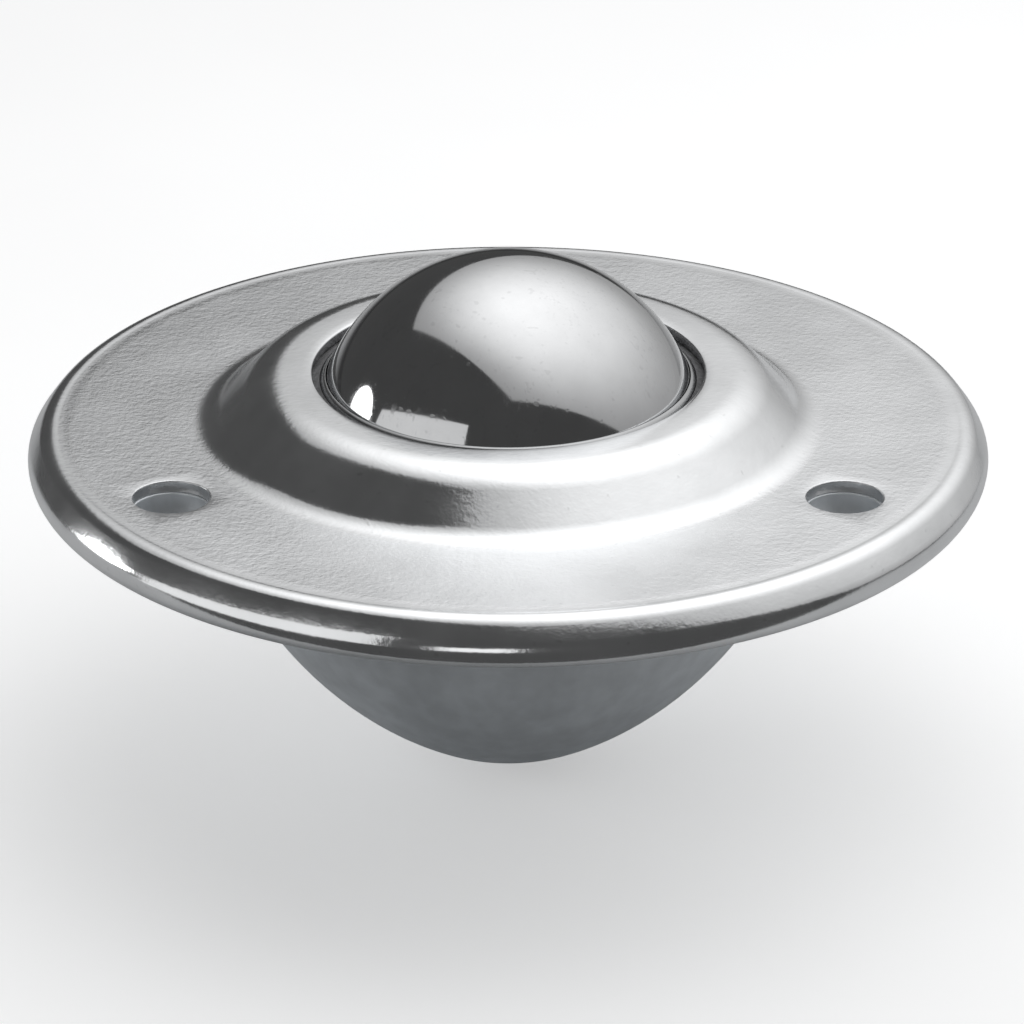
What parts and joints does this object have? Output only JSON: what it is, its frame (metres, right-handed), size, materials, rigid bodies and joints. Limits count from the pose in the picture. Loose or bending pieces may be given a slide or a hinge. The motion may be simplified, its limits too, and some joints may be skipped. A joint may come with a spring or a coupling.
{
  "type": "ball transfer unit",
  "caption": "Flanged ball transfer unit: a steel load ball rolls any way on small balls in a cup, inside a pressed housing with a fixing flange.",
  "frame": {"origin": "on the unit's axis, in the plane of the underside of the body's flange, where the fixing holes end; the seating face, the hem of the rim, lies one cap sheet (0.8 mm) lower", "axes": "+Z along the axis, out of the crown of the load ball; +Y towards one of the three fixing holes"},
  "size_m": [0.062, 0.062, 0.0342],
  "materials": {
    "bright_zinc": "bright zinc plate on pressed steel, satin on the flat flange",
    "dull_zinc": "dull zinc plate on pressed steel",
    "hardened_steel": "hardened and oiled",
    "ring_steel": "thin bright strip steel",
    "felt": "oiled dark wool felt",
    "polished_steel": "ground and polished bearing steel with fine rolling scuffs",
    "support_steel": "polished bearing steel"
  },
  "bodies": {
    "housing": {"top_cap": "bright_zinc", "lower_body": "dull_zinc", "ball_cup": "hardened_steel", "retaining_ring": "ring_steel", "felt_seal": "felt"},
    "support_balls": {"support_balls_row_1": "support_steel", "support_balls_row_2": "support_steel", "support_balls_row_3": "support_steel", "support_balls_row_4": "support_steel", "support_balls_row_5": "support_steel", "support_balls_row_6": "support_steel"},
    "load_ball": {"load_ball": "polished_steel"}
  },
  "joints": [
    {"name": "support_balls_turn", "type": "hinge", "parent": "housing", "child": "support_balls", "pos_m": [0, 0, 0.0007], "axis": [0, 0, 1], "continuous": true},
    {"name": "load_ball_roll", "type": "hinge", "parent": "support_balls", "child": "load_ball", "pos_m": [0, 0, 0.0007], "axis": [1, 0, 0], "continuous": true}
  ]
}
